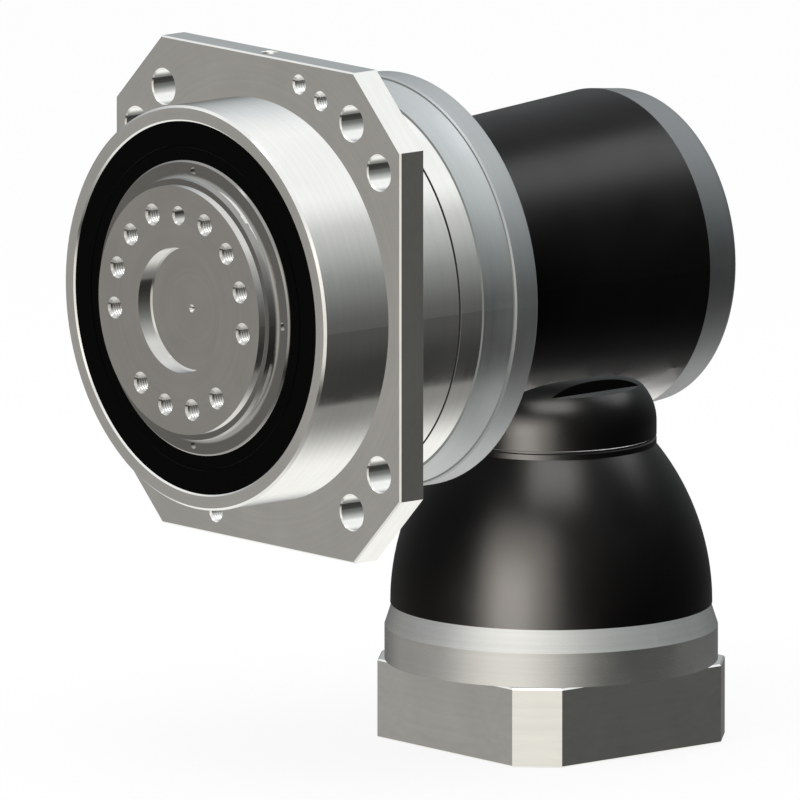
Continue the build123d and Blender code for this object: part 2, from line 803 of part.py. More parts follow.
# Pinion shaft: spiral teeth at the head, two bearing seats and the tail for the motor coupling
pinion_top = -hypoid_inner + pinion_overhang
pinion_foot = -hypoid_outer - pinion_overhang
pinion_lower_bearing = pinion_bearing_top - 2 * pinion_bearing_width - pinion_bearing_spread
pinion_upper_bearing = pinion_bearing_top - pinion_bearing_width
pinion_nut_end = pinion_lower_bearing - pinion_nut_width
with BuildPart() as pinion_shaft:
    for z in (pinion_foot, (pinion_foot + pinion_top) / 2, pinion_top):
        with BuildSketch(level_plane(z)):
            with BuildLine():
                Polyline(*tooth_outline(
                    pinion_teeth, pinion_pitch_r, pinion_addendum * pinion_module,
                    pinion_dedendum * pinion_module, pinion_backlash, -pi / 2 - spiral_turn(-z),
                ), close=True)
            make_face()
    loft(ruled=True)
    add(turned([
        (0, pinion_foot), (pinion_neck_r, pinion_foot), (pinion_neck_r, pinion_shoulder),
        (pinion_shoulder_r, pinion_shoulder), (pinion_shoulder_r, pinion_bearing_top),
        (pinion_seat_r, pinion_bearing_top), (pinion_seat_r, pinion_nut_end),
        (pinion_tail_r, pinion_nut_end), (pinion_tail_r, pinion_tail_end), (0, pinion_tail_end),
    ], tower_profile, tower_axis))
save(pinion_shaft.part, "pinion_shaft")

roller_bearing(
    "pinion_upper_bearing", pinion_upper_bearing, pinion_bearing_width, pinion_seat_r, pinion_bearing_r,
    roller_count_small, vertical=True,
)
roller_bearing(
    "pinion_lower_bearing", pinion_lower_bearing, pinion_bearing_width, pinion_seat_r, pinion_bearing_r,
    roller_count_small, opens=-1, vertical=True,
)

with BuildPart() as pinion_spacer:
    add(turned_ring(
        pinion_seat_r + seat_gap, pinion_spacer_r, pinion_upper_bearing - pinion_bearing_spread,
        pinion_upper_bearing, tower_profile, tower_axis,
    ))
save(pinion_spacer.part, "pinion_spacer")

with BuildPart() as pinion_nut:
    add(turned_ring(
        pinion_seat_r + seat_gap, pinion_nut_r, pinion_nut_end, pinion_lower_bearing,
        tower_profile, tower_axis, edge=edge_break,
    ))
save(pinion_nut.part, "pinion_nut")

# Hypoid housing: cone along the output axis, with the nose and dome of the tower below it. The
# nose is rounded off, has a flat milled into its +X side and a groove round its foot.
partition_end = collar_end + partition_width
cone_slope = (cone_rear_r - cone_front_r) / (cone_end - rim_end)


def cone_radius(y):
    """Outer radius of the cone at a place along the output axis."""
    return cone_front_r + cone_slope * (y - rim_end)


dome_foot_r = nose_r - nose_step
dome_height = nose_foot - dome_end
dome_middle = nose_foot - dome_height / 2
dome_swing = ((dome_r - dome_foot_r) ** 2 + dome_height ** 2) / (2 * (dome_r - dome_foot_r))


def dome_radius(z, wall=0.0):
    """Radius of the dome at a height, inside a wall: one arc that ends upright at the dome's foot."""
    return dome_r - dome_swing + sqrt((dome_swing - wall) ** 2 - (z - dome_end) ** 2)


bore_foot = pinion_lower_bearing
dome_inner_z = bore_foot - loose_gap
rib_r = pinion_bearing_r - pinion_rib
collar_seat_r = carrier_bearing_r + collar_wall + seat_gap
adapter_seat = dome_end + adapter_spigot + loose_gap
dome_inner_middle = (dome_inner_z + adapter_seat) / 2
with BuildPart() as hypoid_housing:
    with BuildSketch(output_profile):
        with BuildLine():
            Polyline(
                (0, rim_end), (cone_front_r, rim_end), (cone_rear_r, cone_end), (0, cone_end), close=True,
            )
        make_face()
    revolve(axis=output_axis)
    with BuildSketch(tower_profile):
        with BuildLine():
            Polyline((0, dome_end), (0, nose_top), (nose_r - nose_round, nose_top))
            RadiusArc((nose_r - nose_round, nose_top), (nose_r, nose_top - nose_round), nose_round)
            Polyline(
                (nose_r, nose_top - nose_round), (nose_r, nose_groove_z + nose_groove),
                (nose_r - nose_groove, nose_groove_z + nose_groove / 2),
                (nose_r - nose_groove, nose_groove_z - nose_groove / 2),
                (nose_r, nose_groove_z - nose_groove), (nose_r, nose_foot), (dome_foot_r, nose_foot),
            )
            ThreePointArc(
                (dome_foot_r, nose_foot), (dome_radius(dome_middle), dome_middle),
                (dome_r, dome_end),
            )
            Line((dome_r, dome_end), (0, dome_end))
        make_face()
    revolve(axis=tower_axis)
    with BuildSketch(level_plane(nose_flat_z)):
        with Locations((nose_flat_reach + nose_r, 0)):
            Rectangle(2 * nose_r, 2 * nose_r)
    extrude(amount=nose_top - nose_flat_z, mode=Mode.SUBTRACT)
    with BuildSketch(output_profile):
        with BuildLine():
            Polyline(
                (0, rim_end), (collar_seat_r, rim_end), (collar_seat_r, collar_end),
                (crown_bearing_r, collar_end),
                (crown_bearing_r, crown_front_bearing + crown_bearing_width),
                (crown_bearing_r - partition_lip, crown_front_bearing + crown_bearing_width),
                (crown_bearing_r - partition_lip, partition_end),
                (cone_radius(partition_end) - cone_wall, partition_end),
                (cone_radius(cone_end - cover_spigot) - cone_wall, cone_end - cover_spigot),
                (cover_spigot_r + seat_gap, cone_end - cover_spigot), (cover_spigot_r + seat_gap, cone_end),
                (0, cone_end), close=True,
            )
        make_face()
    revolve(axis=output_axis, mode=Mode.SUBTRACT)
    with BuildSketch(tower_profile):
        with BuildLine():
            Polyline(
                (0, pinion_top), (pinion_tip_r + loose_gap, pinion_top),
                (pinion_tip_r + loose_gap, pinion_foot - loose_gap),
                (pinion_shoulder_r + loose_gap, pinion_foot - loose_gap),
                (pinion_shoulder_r + loose_gap, pinion_bearing_top), (pinion_bearing_r, pinion_bearing_top),
                (pinion_bearing_r, pinion_upper_bearing), (rib_r, pinion_upper_bearing),
                (rib_r, pinion_upper_bearing - pinion_bearing_spread),
                (pinion_bearing_r, pinion_upper_bearing - pinion_bearing_spread),
                (pinion_bearing_r, dome_inner_z),
                (dome_radius(dome_inner_z, dome_wall), dome_inner_z),
            )
            ThreePointArc(
                (dome_radius(dome_inner_z, dome_wall), dome_inner_z),
                (dome_radius(dome_inner_middle, dome_wall), dome_inner_middle),
                (dome_radius(adapter_seat, dome_wall), adapter_seat),
            )
            Polyline(
                (dome_radius(adapter_seat, dome_wall), adapter_seat),
                (adapter_spigot_r + seat_gap, adapter_seat),
                (adapter_spigot_r + seat_gap, dome_end), (0, dome_end), (0, pinion_top),
            )
        make_face()
    revolve(axis=tower_axis, mode=Mode.SUBTRACT)
save(hypoid_housing.part, "hypoid_housing")

# Rear cover: grey disc with a rounded edge, a spigot in the housing and the rear bearing's boss
cover_boss_r = crown_bearing_r + cover_boss_wall
cover_nut_r = crown_nut_r + cover_nut_gap
with BuildPart() as rear_cover:
    with BuildSketch(output_profile):
        with BuildLine():
            Polyline(
                (0, cover_end), (0, crown_rear_bearing_end + cover_nut_room),
                (cover_nut_r, crown_rear_bearing_end + cover_nut_room),
                (cover_nut_r, crown_rear_bearing_end), (crown_bearing_r, crown_rear_bearing_end),
                (crown_bearing_r, crown_rear_bearing), (cover_boss_r, crown_rear_bearing),
                (cover_boss_r, cone_end - cover_spigot), (cover_spigot_r, cone_end - cover_spigot),
                (cover_spigot_r, cone_end), (cone_rear_r, cone_end), (cover_end_r, cover_end), close=True,
            )
        make_face()
    revolve(axis=output_axis)
    fillet(edges().group_by(Axis.Y)[-1], cover_round)
    with Locations(cross_plane(cover_end).location):
        with PolarLocations(cover_screw_circle_r, cover_screw_count):
            CounterBoreHole(screw_r + running_gap, screw_head_r + face_gap, screw_head + face_gap)
save(rear_cover.part, "rear_cover")


def socket_screw(grip):
    """Socket screw with the underside of its head at the origin and its thread along -Z."""
    with BuildPart(mode=Mode.PRIVATE) as screw:
        with BuildSketch():
            Circle(screw_head_r)
        extrude(amount=screw_head)
        with BuildSketch():
            Circle(screw_r)
        extrude(amount=-grip)
        with BuildSketch(Plane.XY.offset(screw_head)):
            RegularPolygon(screw_socket_r, 6)
        extrude(amount=-screw_socket_depth, mode=Mode.SUBTRACT)
    return screw.part


# Rear cover screws, sunk in the cover's back
cover_seat = cross_plane(cover_end - screw_head - face_gap)
with BuildPart() as rear_cover_screws:
    with Locations(cover_seat.location):
        with PolarLocations(cover_screw_circle_r, cover_screw_count):
            add(socket_screw(cover_seat.origin.Y - cone_end + cover_spigot))
save(rear_cover_screws.part, "rear_cover_screws")

# Motor adapter ring: grey ring under the dome, with a web that holds the input seal
adapter_web_end = dome_end - adapter_web
with BuildPart() as motor_adapter:
    add(turned([
        (input_seal_r, dome_end), (adapter_spigot_r - adapter_spigot_wall, dome_end),
        (adapter_spigot_r - adapter_spigot_wall, dome_end + adapter_spigot),
        (adapter_spigot_r, dome_end + adapter_spigot), (adapter_spigot_r, dome_end),
        (adapter_top_r, dome_end),
        (adapter_r, adapter_taper_end), (adapter_r, adapter_end), (adapter_bore_r, adapter_end),
        (adapter_bore_r, adapter_web_end), (input_seal_r, adapter_web_end),
    ], tower_profile, tower_axis))
save(motor_adapter.part, "motor_adapter")

with BuildPart() as input_seal:
    add(turned_ring(
        pinion_tail_r + running_gap, input_seal_r - seat_gap, adapter_web_end, dome_end,
        tower_profile, tower_axis,
    ))
save(input_seal.part, "input_seal")

# Motor flange: square block with the motor's pilot and bolt circle below and an access hole
access_hole_depth = (
    motor_flange_width / 2 - sqrt(motor_flange_bore_r ** 2 - clamp_screw_offset ** 2) + access_break_in
)
flange_screw_angles = [90 * k + side * flange_screw_angle for k in range(4) for side in (1, -1)]
access_side = Plane(
    origin=(shaft_offset - motor_flange_width / 2, tower_y + clamp_screw_offset, clamp_screw_z),
    x_dir=(0, 1, 0), z_dir=(-1, 0, 0),
)
with BuildPart() as motor_flange:
    with BuildSketch(level_plane(adapter_end)):
        Rectangle(motor_flange_width, motor_flange_width)
        chamfer(vertices(), motor_flange_chamfer)
    extrude(amount=motor_flange_end - adapter_end)
    chamfer(edges().group_by(Axis.Z)[0], edge_break)
    chamfer(edges().group_by(Axis.Z)[-1], edge_break)
    with BuildSketch(level_plane(adapter_end)):
        Circle(motor_flange_bore_r)
    extrude(amount=motor_flange_end - adapter_end, mode=Mode.SUBTRACT)
    with BuildSketch(level_plane(motor_flange_end)):
        Circle(motor_pilot_r)
    extrude(amount=motor_pilot_depth, mode=Mode.SUBTRACT)
    below = Plane(origin=(shaft_offset, tower_y, motor_flange_end), x_dir=(1, 0, 0), z_dir=(0, 0, -1))
    with Locations(below.location):
        with PolarLocations(motor_bolt_circle_r, 4, start_angle=45):
            CounterSinkHole(motor_bolt_r, motor_bolt_r + edge_break / 2, depth=motor_bolt_depth)
    for angle in flange_screw_angles:
        with Locations(below.location):
            with PolarLocations(flange_screw_circle_r, 1, start_angle=angle):
                CounterBoreHole(screw_r + running_gap, screw_head_r + face_gap, screw_head + face_gap)
    with Locations(access_side.location):
        Hole(access_plug_r + seat_gap, depth=access_hole_depth)
save(motor_flange.part, "motor_flange")

flange_screw_seat = below.offset(-screw_head - face_gap)
with BuildPart() as motor_flange_screws:
    for angle in flange_screw_angles:
        with Locations(flange_screw_seat.location):
            with PolarLocations(flange_screw_circle_r, 1, start_angle=angle):
                add(socket_screw(adapter_end - flange_screw_seat.origin.Z))
save(motor_flange_screws.part, "motor_flange_screws")

with BuildPart() as access_plug:
    with BuildSketch(access_side.offset(-face_gap)):
        Circle(access_plug_r)
    extrude(amount=-access_plug_length)
    with BuildSketch(access_side.offset(-face_gap)):
        RegularPolygon(screw_head_r, 6)
    extrude(amount=-access_plug_length / 2, mode=Mode.SUBTRACT)
save(access_plug.part, "access_plug")

# Clamping hub: pressed on the pinion's tail, slit along one side and closed by one cross screw
clamp_pocket_r = clamp_screw_head_r + face_gap
with BuildPart() as clamping_hub:
    add(turned([
        (pinion_tail_r + seat_gap, pinion_tail_end), (pinion_tail_r + seat_gap, hub_top),
        (hub_outer_r - 2 * edge_break, hub_top), (hub_outer_r, hub_top - 2 * edge_break),
        (hub_outer_r, hub_bottom + edge_break), (hub_outer_r - edge_break, hub_bottom),
        (motor_shaft_r + edge_break, hub_bottom), (motor_shaft_r, hub_bottom + edge_break),
        (motor_shaft_r, pinion_tail_end),
    ], tower_profile, tower_axis))
    with BuildSketch(Plane(
        origin=(shaft_offset, tower_y, hub_bottom), x_dir=(1, 0, 0), z_dir=(0, 0, 1),
    )):
        with Locations((0, hub_outer_r / 2)):
            Rectangle(hub_slot, hub_outer_r)
    extrude(amount=pinion_tail_end - hub_bottom - loose_gap, mode=Mode.SUBTRACT)
    screw_side = Plane(
        origin=(shaft_offset, tower_y + clamp_screw_offset, clamp_screw_z), x_dir=(0, 1, 0), z_dir=(-1, 0, 0),
    )
    with BuildSketch(screw_side.offset(clamp_screw_seat)):
        Circle(clamp_pocket_r)
    extrude(amount=hub_outer_r, mode=Mode.SUBTRACT)
    with BuildSketch(screw_side.offset(clamp_screw_seat)):
        Circle(clamp_screw_r + seat_gap)
    extrude(amount=-clamp_hole_length, mode=Mode.SUBTRACT)
save(clamping_hub.part, "clamping_hub")

with BuildPart() as clamp_screw:
    with BuildSketch(screw_side.offset(clamp_screw_seat)):
        Circle(clamp_screw_head_r)
    extrude(amount=clamp_screw_head)
    with BuildSketch(screw_side.offset(clamp_screw_seat)):
        Circle(clamp_screw_r)
    extrude(amount=-clamp_screw_length)
    with BuildSketch(screw_side.offset(clamp_screw_seat + clamp_screw_head)):
        RegularPolygon(clamp_socket_r, 6)
    extrude(amount=-clamp_screw_head / 2, mode=Mode.SUBTRACT)
save(clamp_screw.part, "clamp_screw")
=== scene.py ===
from math import cos, radians, sin

import bpy
import numpy as np
from mathutils import Matrix, Vector


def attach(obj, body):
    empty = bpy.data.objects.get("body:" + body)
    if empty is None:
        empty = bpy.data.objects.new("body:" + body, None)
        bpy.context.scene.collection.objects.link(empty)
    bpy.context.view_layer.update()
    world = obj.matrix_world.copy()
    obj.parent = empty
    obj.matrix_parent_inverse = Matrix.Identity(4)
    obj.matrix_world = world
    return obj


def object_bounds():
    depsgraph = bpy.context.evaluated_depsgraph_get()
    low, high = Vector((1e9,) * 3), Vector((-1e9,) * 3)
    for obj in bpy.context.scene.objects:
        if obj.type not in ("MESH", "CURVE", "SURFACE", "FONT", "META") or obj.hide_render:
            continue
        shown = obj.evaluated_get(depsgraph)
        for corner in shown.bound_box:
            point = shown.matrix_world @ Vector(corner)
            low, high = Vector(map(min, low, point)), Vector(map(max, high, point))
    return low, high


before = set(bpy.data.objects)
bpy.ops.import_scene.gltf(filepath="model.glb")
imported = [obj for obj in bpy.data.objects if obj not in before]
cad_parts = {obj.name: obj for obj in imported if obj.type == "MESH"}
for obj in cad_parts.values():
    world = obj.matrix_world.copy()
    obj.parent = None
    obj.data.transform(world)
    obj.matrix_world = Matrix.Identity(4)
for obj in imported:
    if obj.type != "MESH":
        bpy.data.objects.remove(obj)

cad_box = [list(map(float, corner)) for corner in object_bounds()]

# Output housing: one turned and milled steel casting with the pilot in front, the mounting plate
# and the round body behind. It is faced on a lathe, so its faces carry fine concentric lines, and
# the plate's rim is milled.
mm = 0.001
steel_colour = (0.79, 0.785, 0.765)
steel_roughness = 0.11
turning_pitch = 0.35 * mm


def material_tree(name):
    """An empty node material with a Principled shader on its output."""
    material = bpy.data.materials.new(name)
    material.use_nodes = True
    tree = material.node_tree
    tree.nodes.clear()
    output = tree.nodes.new("ShaderNodeOutputMaterial")
    shader = tree.nodes.new("ShaderNodeBsdfPrincipled")
    tree.links.new(shader.outputs["BSDF"], output.inputs["Surface"])
    return material, tree, shader


def math_node(tree, operation, first, second):
    """A Math node whose two inputs are numbers or sockets."""
    node = tree.nodes.new("ShaderNodeMath")
    node.operation = operation
    for socket, value in zip(node.inputs, (first, second)):
        if isinstance(value, (int, float)):
            socket.default_value = value
        else:
            tree.links.new(value, socket)
    return node.outputs["Value"]


def noise(tree, vector, size, detail=2.0, roughness=0.5):
    """Noise whose features are about size metres across, from 0 to 1."""
    node = tree.nodes.new("ShaderNodeTexNoise")
    node.inputs["Scale"].default_value = 1.0 / size
    node.inputs["Detail"].default_value = detail
    node.inputs["Roughness"].default_value = roughness
    tree.links.new(vector, node.inputs["Vector"])
    return node.outputs["Fac"]


def spread(tree, value, low, high):
    """The 0 to 1 value stretched between low and high, clamped to them."""
    node = tree.nodes.new("ShaderNodeMapRange")
    node.inputs["From Min"].default_value = 0.3
    node.inputs["From Max"].default_value = 0.7
    node.inputs["To Min"].default_value = low
    node.inputs["To Max"].default_value = high
    tree.links.new(value, node.inputs["Value"])
    return node.outputs["Result"]


def shade(tree, value, colour, darker, lighter):
    """The colour times a factor that goes from darker to lighter with the value."""
    node = tree.nodes.new("ShaderNodeMix")
    node.data_type = "RGBA"
    tree.links.new(value, node.inputs["Factor"])
    node.inputs["A"].default_value = (*[c * darker for c in colour], 1)
    node.inputs["B"].default_value = (*[c * lighter for c in colour], 1)
    return node.outputs["Result"]


def bump(tree, shader, height, depth, strength=1.0):
    """A bump of that depth in metres, from the height, on the shader's normal."""
    node = tree.nodes.new("ShaderNodeBump")
    node.inputs["Strength"].default_value = strength
    node.inputs["Distance"].default_value = depth
    tree.links.new(height, node.inputs["Height"])
    tree.links.new(node.outputs["Normal"], shader.inputs["Normal"])


def object_place(tree, centre=(0, 0, 0)):
    """Object coordinates counted from a point of the part."""
    place = tree.nodes.new("ShaderNodeTexCoord")
    shift = tree.nodes.new("ShaderNodeVectorMath")
    shift.operation = "SUBTRACT"
    shift.inputs[1].default_value = centre
    tree.links.new(place.outputs["Object"], shift.inputs[0])
    return shift.outputs["Vector"]


def turned_place(tree, centre, axis):
    """Coordinates that don't change round a turning axis: (radius, place along the axis, 0)."""
    place = object_place(tree, centre)
    across = tree.nodes.new("ShaderNodeVectorMath")
    across.operation = "MULTIPLY"
    across.inputs[1].default_value = [0 if letter == axis else 1 for letter in "XYZ"]
    tree.links.new(place, across.inputs[0])
    radius = tree.nodes.new("ShaderNodeVectorMath")
    radius.name = "radius"
    radius.operation = "LENGTH"
    tree.links.new(across.outputs["Vector"], radius.inputs[0])
    parts = tree.nodes.new("ShaderNodeSeparateXYZ")
    parts.name = "parts"
    tree.links.new(place, parts.inputs["Vector"])
    joined = tree.nodes.new("ShaderNodeCombineXYZ")
    tree.links.new(radius.outputs["Value"], joined.inputs["X"])
    tree.links.new(parts.outputs[axis], joined.inputs["Y"])
    return place, joined.outputs["Vector"]


def turned_metal(name, colour, roughness, centre=(0, 0, 0), axis="Y", lines=0.05, depth=0.004 * mm):
    """Metal turned on a lathe: fine lines round the axis, a slow patchiness and its polish."""
    material, tree, shader = material_tree(name)
    place, round_place = turned_place(tree, centre, axis)
    cuts = noise(tree, round_place, turning_pitch, detail=3.0)
    bands = noise(tree, round_place, 9 * turning_pitch, detail=1.0)
    patches = noise(tree, place, 26 * mm, detail=3.0)
    shader.inputs["Metallic"].default_value = 1.0
    mixed = math_node(tree, "MULTIPLY", math_node(tree, "ADD", patches, bands), 0.5)
    tree.links.new(shade(tree, spread(tree, mixed, 0, 1), colour, 0.95, 1.05), shader.inputs["Base Color"])
    gloss = math_node(tree, "ADD", spread(tree, cuts, -lines, lines), spread(tree, patches, -0.03, 0.03))
    tree.links.new(math_node(tree, "ADD", gloss, roughness), shader.inputs["Roughness"])
    bump(tree, shader, cuts, depth)
    return material


def dress(node_name, material):
    """Give a CAD node its finish."""
    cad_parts[node_name].material_slots[0].material = material


housing_steel = turned_metal("turned_housing_steel", steel_colour, steel_roughness)
dress("output_housing", housing_steel)

# Bearing outer ring and its retaining ring: hardened and ground steel, pressed into the housing
# from behind, with the rollers running in it.
ground_colour = (0.62, 0.62, 0.63)
ground_roughness = 0.16
ground_lines = 0.02
ground_depth = 0.001 * mm
ground_steel = turned_metal(
    "ground_bearing_steel", ground_colour, ground_roughness, lines=ground_lines, depth=ground_depth,
)
for ring in ("output_bearing_outer_ring", "output_bearing_rollers", "output_bearing_inner_ring"):
    dress(ring, ground_steel)
dress("bearing_retainer", housing_steel)
dress("hub_spacer", housing_steel)

# Shaft seal: black nitrile ring pressed in round the flange disc, matt, with moulded lines.
seal_colour = (0.0015, 0.0015, 0.0015)


def moulded_rubber(name, colour, centre=(0, 0, 0), axis="Y"):
    """Matt black rubber with moulding rings and a fine grain."""
    material, tree, shader = material_tree(name)
    place, round_place = turned_place(tree, centre, axis)
    grain = noise(tree, place, 0.5 * mm, detail=4.0)
    rings = noise(tree, round_place, 2.4 * mm, detail=1.0)
    tree.links.new(shade(tree, grain, colour, 0.8, 1.3), shader.inputs["Base Color"])
    tree.links.new(spread(tree, grain, 0.62, 0.8), shader.inputs["Roughness"])
    shader.inputs["Specular IOR Level"].default_value = 0.02
    bump(tree, shader, math_node(tree, "ADD", grain, rings), 0.02 * mm)
    return material


seal_rubber = moulded_rubber("seal_rubber", seal_colour)
dress("shaft_seal", seal_rubber)

# Output flange: turned and ground steel disc with a raised boss, the tapped bolt circle, the
# centring bore and four small dimples. The bearing's inner ring is shrunk on its hub.
flange_colour = (0.56, 0.55, 0.53)
flange_roughness = 0.13
boss_radius = 62.5 * mm
disc_darkness = 0.50


def principled(tree):
    """The material's one Principled shader."""
    return next(node for node in tree.nodes if node.type == "BSDF_PRINCIPLED")


def tint_where(tree, share, tones):
    """Multiply the material's colour by the tones where the share is 1."""
    shader = principled(tree)
    mix = tree.nodes.new("ShaderNodeMix")
    mix.data_type = "RGBA"
    mix.blend_type = "MULTIPLY"
    mix.inputs["B"].default_value = (*tones, 1)
    tree.links.new(share, mix.inputs["Factor"])
    tree.links.new(shader.inputs["Base Color"].links[0].from_socket, mix.inputs["A"])
    tree.links.new(mix.outputs["Result"], shader.inputs["Base Color"])


def roughen_where(tree, share, extra):
    """Add the extra to the material's roughness where the share is 1."""
    shader = principled(tree)
    more = math_node(tree, "MULTIPLY", share, extra)
    usual = shader.inputs["Roughness"].links[0].from_socket
    tree.links.new(math_node(tree, "ADD", usual, more), shader.inputs["Roughness"])


flange_steel = turned_metal("turned_flange_steel", flange_colour, flange_roughness, lines=0.03)
flange_tree = flange_steel.node_tree
flange_radius = flange_tree.nodes["radius"].outputs["Value"]
tint_where(flange_tree, math_node(flange_tree, "GREATER_THAN", flange_radius, boss_radius), [disc_darkness] * 3)
dress("output_flange", flange_steel)

# The flange's twelve tapped holes: a cut M10 thread of 1.5 mm pitch in the wall of each. Twelve of
# fifteen equal places on the bolt circle carry one.
thread_pitch = 1.5 * mm
thread_steps = 6
thread_sides = 30
thread_wall = 0.03 * mm
bolt_circle = 50 * mm
bolt_thread_start = -49.7 * mm
bolt_thread_length = 15 * mm
bolt_thread_radius = 4.58 * mm
bolt_thread_depth = 0.42 * mm
bolt_bearings = np.radians([66, 42, 18, -6, -54, -78, 114, 138, 162, 186, 234, 258])


def cut_threads(name, holes, radius, depth, axis, body, material):
    """Thread in the wall of like holes that run along one axis from their mouths.

    Over the angle a and the place s along the hole, the surface stands off the wall by depth times a
    triangle wave of s / pitch - a / turn, which fades out at both ends. It goes back along the wall,
    which closes it.
    """
    across, forth = {"+Y": ((0, 0, 1), (1, 0, 0)), "-Z": ((0, 1, 0), (1, 0, 0))}[axis]
    along = np.cross(across, forth)
    points, faces = [], []
    for mouth, length in holes:
        rows = int(round(length / thread_pitch)) * thread_steps + 1
        s = np.linspace(0, length, rows)[:, None]
        a = np.linspace(0, 2 * np.pi, thread_sides, endpoint=False)[None, :]
        wave = 1 - np.abs(2 * np.mod(s / thread_pitch - a / (2 * np.pi), 1) - 1)
        fade = np.clip(np.minimum(s, length - s) / thread_pitch, 0, 1)
        inner = radius - depth * wave * fade
        rim = np.broadcast_to(radius + thread_wall, (2, thread_sides))
        r = np.concatenate([inner, rim])
        s = np.concatenate([s, [[length], [0]]])
        place = np.array(mouth) + (r * np.cos(a))[..., None] * np.array(across)
        place = place + (r * np.sin(a))[..., None] * np.array(forth) + s[..., None] * along
        i, j = np.meshgrid(np.arange(rows + 2), np.arange(thread_sides), indexing="ij")
        i_next, j_next = (i + 1) % (rows + 2), (j + 1) % thread_sides
        start = sum(len(block) for block in points)
        row, row_next = i * thread_sides + start, i_next * thread_sides + start
        corners = [row + j, row_next + j, row_next + j_next, row + j_next]
        faces.append(np.stack(corners, -1).reshape(-1, 4))
        points.append(place.reshape(-1, 3))
    mesh = bpy.data.meshes.new(name)
    mesh.from_pydata(np.concatenate(points).tolist(), [], np.concatenate(faces).tolist())
    mesh.materials.append(material)
    piece = bpy.data.objects.new(name, mesh)
    bpy.context.scene.collection.objects.link(piece)
    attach(piece, body)
    return piece


def hole_mouths(circle, bearings, start, length):
    """The mouths of like holes on a circle round the output axis, each with the thread's length."""
    return [((circle * cos(bearing), start, circle * sin(bearing)), length) for bearing in bearings]


flange_threads = cut_threads(
    "output_flange_threads", hole_mouths(bolt_circle, bolt_bearings, bolt_thread_start, bolt_thread_length),
    bolt_thread_radius, bolt_thread_depth, "+Y", "output", flange_steel,
)

# The mounting plate's four small tapped holes and the lifting hole in its top edge: the same thread,
# cut a little shallower in the housing's steel.
plate_circle = 117.1 * mm
plate_bearings = np.radians([73.9, 65.2, 253.9, 245.2])
plate_thread_start = 1 * mm
plate_thread_length = 12 * mm
plate_thread_radius = 4.22 * mm
housing_thread_depth = 0.30 * mm
plate_threads = cut_threads(
    "mounting_plate_threads", hole_mouths(plate_circle, plate_bearings, plate_thread_start, plate_thread_length),
    plate_thread_radius, housing_thread_depth, "+Y", "housing", housing_steel,
)
lifting_mouth = (0, 7.8 * mm, 123 * mm)
lifting_thread_length = 16.5 * mm
lifting_thread_radius = 4.27 * mm
lifting_thread = cut_threads(
    "lifting_hole_thread", [(lifting_mouth, lifting_thread_length)],
    lifting_thread_radius, housing_thread_depth, "-Z", "housing", housing_steel,
)

# Planet carrier, planets, sun, crown gear and their bearings: case hardened steel, hobbed and
# ground. The carrier and the crown's shaft are turned like the housing.
gear_colour = (0.42, 0.42, 0.43)
gear_roughness = 0.24
gear_lines = 0.03
gear_depth = 0.002 * mm
gear_steel = turned_metal("ground_gear_steel", gear_colour, gear_roughness, lines=gear_lines, depth=gear_depth)
for gear in ("planet_gear_1", "planet_gear_2", "planet_gear_3", "sun_gear", "crown_gear"):
    dress(gear, gear_steel)
for plate in ("carrier_front_plate", "carrier_rear_plate", "crown_shaft"):
    dress(plate, housing_steel)
for ring in (
    "planet_pins", "planet_needles_1", "planet_needles_2", "planet_needles_3",
    "carrier_bearing_inner_ring", "carrier_bearing_rollers", "carrier_bearing_outer_ring",
    "crown_front_bearing_inner_ring", "crown_front_bearing_rollers", "crown_front_bearing_outer_ring",
    "crown_rear_bearing_inner_ring", "crown_rear_bearing_rollers", "crown_rear_bearing_outer_ring",
):
    dress(ring, ground_steel)

# Ring gear body: the turned steel band behind the housing's seam, then a matt blasted cove that
# flares out to the rim. It is screwed between the housing and the intermediate flange.
flare_start = 63.4 * mm
cove_tones = (0.58, 0.61, 0.63)
cove_extra_roughness = 0.27
ring_steel = turned_metal("turned_ring_steel", steel_colour, steel_roughness)
ring_tree = ring_steel.node_tree
ring_radius = ring_tree.nodes["radius"].outputs["Value"]
ring_depth = ring_tree.nodes["parts"].outputs["Y"]
cove_share = math_node(ring_tree, "GREATER_THAN", ring_depth, flare_start)
tint_where(ring_tree, cove_share, cove_tones)
roughen_where(ring_tree, cove_share, cove_extra_roughness)

# The seam between the housing and the ring gear: painted shade, its groove tinted dark where shade falls in it
seam_radius = 98.2 * mm
seam_end = 50.2 * mm
seam_painted_shade = 0.08
seam_shade_share = math_node(
    ring_tree, "MULTIPLY", math_node(ring_tree, "LESS_THAN", ring_radius, seam_radius),
    math_node(ring_tree, "LESS_THAN", ring_depth, seam_end),
)
# Painted shade: the seam's groove darkened in the ring gear's colour
tint_where(ring_tree, seam_shade_share, [seam_painted_shade] * 3)
dress("ring_gear", ring_steel)

# Intermediate flange: turned and blasted aluminium, which shows as the matt rim between the
# planetary stage and the black housing.
rim_colour = (0.40, 0.415, 0.42)
rim_roughness = 0.40
rim_aluminium = turned_metal("turned_rim_aluminium", rim_colour, rim_roughness, lines=0.04)
dress("intermediate_flange", rim_aluminium)

# Hypoid housing: cast aluminium, powder coated satin black, with cone, nose and dome in one
# casting, screwed to the intermediate flange. Its colour and shine are far below a real powder
# coat's: they were matched to the photograph under the coat's own strong lamps further down.
black_colour = (0.0001, 0.0001, 0.0001)
coat_roughness = 0.33
coat_shine = 0.05
peel_size = 1.1 * mm
peel_depth = 0.008 * mm
coat_patch_size = 34 * mm


